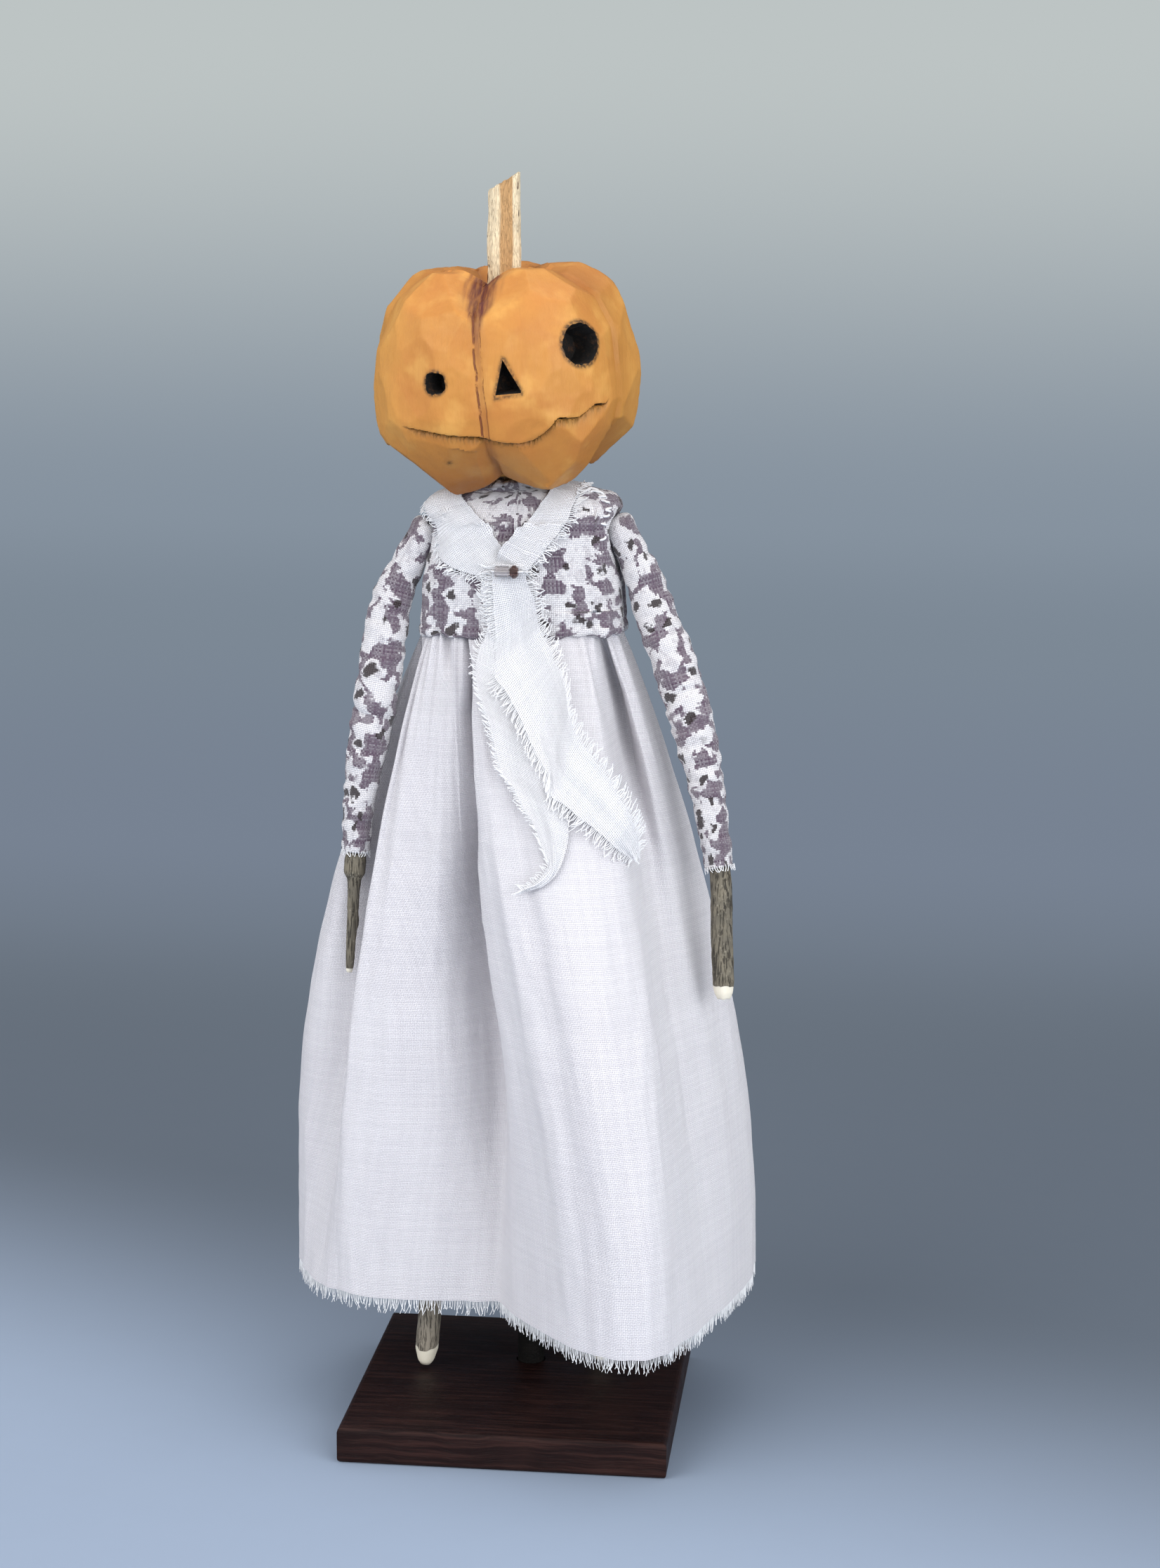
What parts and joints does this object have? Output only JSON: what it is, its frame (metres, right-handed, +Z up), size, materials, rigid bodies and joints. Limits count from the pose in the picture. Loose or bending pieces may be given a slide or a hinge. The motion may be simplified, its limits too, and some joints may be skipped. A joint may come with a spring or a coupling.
{
  "type": "doll on a stand",
  "caption": "Standing cloth doll with a carved wooden pumpkin head, twig hands and feet, a long muslin skirt and a scarf, held up by a post on a square wooden base.",
  "frame": {"origin": "centre of the underside of the square base board", "axes": "+Z up; the doll faces -Y; +X to the right of someone looking at its face"},
  "size_m": [0.1163, 0.0965, 0.3074],
  "materials": {
    "base_wood": "dark red-brown stain, satin",
    "post_paint": "black paint, satin",
    "plain_wood": "bare",
    "carved_wood": "orange-ochre stain rubbed darker in the grooves, satin",
    "stem_wood": "bare split branch",
    "twig": "grey-brown bark with whittled pale tips",
    "printed_cotton": "coarse weave with a small floral print",
    "skirt_muslin": "undyed muslin, matte",
    "scarf_muslin": "open white muslin, frayed edges",
    "white_thread": "matte",
    "clear_glass": "clear, glossy",
    "brown_glass": "brown, glossy",
    "steel_wire": "drawn wire"
  },
  "bodies": {
    "stand": {"base_board": "base_wood", "support_post": "post_paint", "torso_block": "plain_wood", "neck_peg": "plain_wood", "bodice": "printed_cotton", "skirt": "skirt_muslin", "scarf": "scarf_muslin", "bugle_bead": "clear_glass", "seed_bead": "brown_glass", "bead_thread": "white_thread", "left_hip_staple": "steel_wire", "right_hip_staple": "steel_wire"},
    "head": {"pumpkin_head": "carved_wood", "stem": "stem_wood"},
    "left_shoulder": {"left_armhole_thread": "white_thread"},
    "left_arm": {"left_sleeve": "printed_cotton", "left_hand_twig": "twig"},
    "left_leg": {"left_hip_eye": "steel_wire", "left_leg_twig": "twig"},
    "right_shoulder": {"right_armhole_thread": "white_thread"},
    "right_arm": {"right_sleeve": "printed_cotton", "right_hand_twig": "twig"},
    "right_leg": {"right_hip_eye": "steel_wire", "right_leg_twig": "twig"}
  },
  "joints": [
    {"name": "head_turn", "type": "hinge", "parent": "stand", "child": "head", "pos_m": [-0.0025, 0.009, 0.226], "axis": [-0.0895, -0.0497, 0.9947], "range_deg": [-60, 60]},
    {"name": "left_shoulder_swing", "type": "hinge", "parent": "stand", "child": "left_shoulder", "pos_m": [-0.0267, 0.008, 0.221], "axis": [-1, 0, 0], "range_deg": [0, 75]},
    {"name": "left_shoulder_lift", "type": "hinge", "parent": "left_shoulder", "child": "left_arm", "pos_m": [-0.0267, 0.008, 0.221], "axis": [0, 1, 0], "range_deg": [0, 75]},
    {"name": "left_hip_swing", "type": "hinge", "parent": "stand", "child": "left_leg", "pos_m": [-0.0135, 0.008, 0.186], "axis": [-1, 0, 0], "range_deg": [-8, 6]},
    {"name": "right_shoulder_swing", "type": "hinge", "parent": "stand", "child": "right_shoulder", "pos_m": [0.0235, 0.008, 0.2225], "axis": [-1, 0, 0], "range_deg": [0, 75]},
    {"name": "right_shoulder_lift", "type": "hinge", "parent": "right_shoulder", "child": "right_arm", "pos_m": [0.0235, 0.008, 0.2225], "axis": [0, -1, 0], "range_deg": [0, 75]},
    {"name": "right_hip_swing", "type": "hinge", "parent": "stand", "child": "right_leg", "pos_m": [0.0105, 0.008, 0.186], "axis": [-1, 0, 0], "range_deg": [-8, 6]}
  ]
}
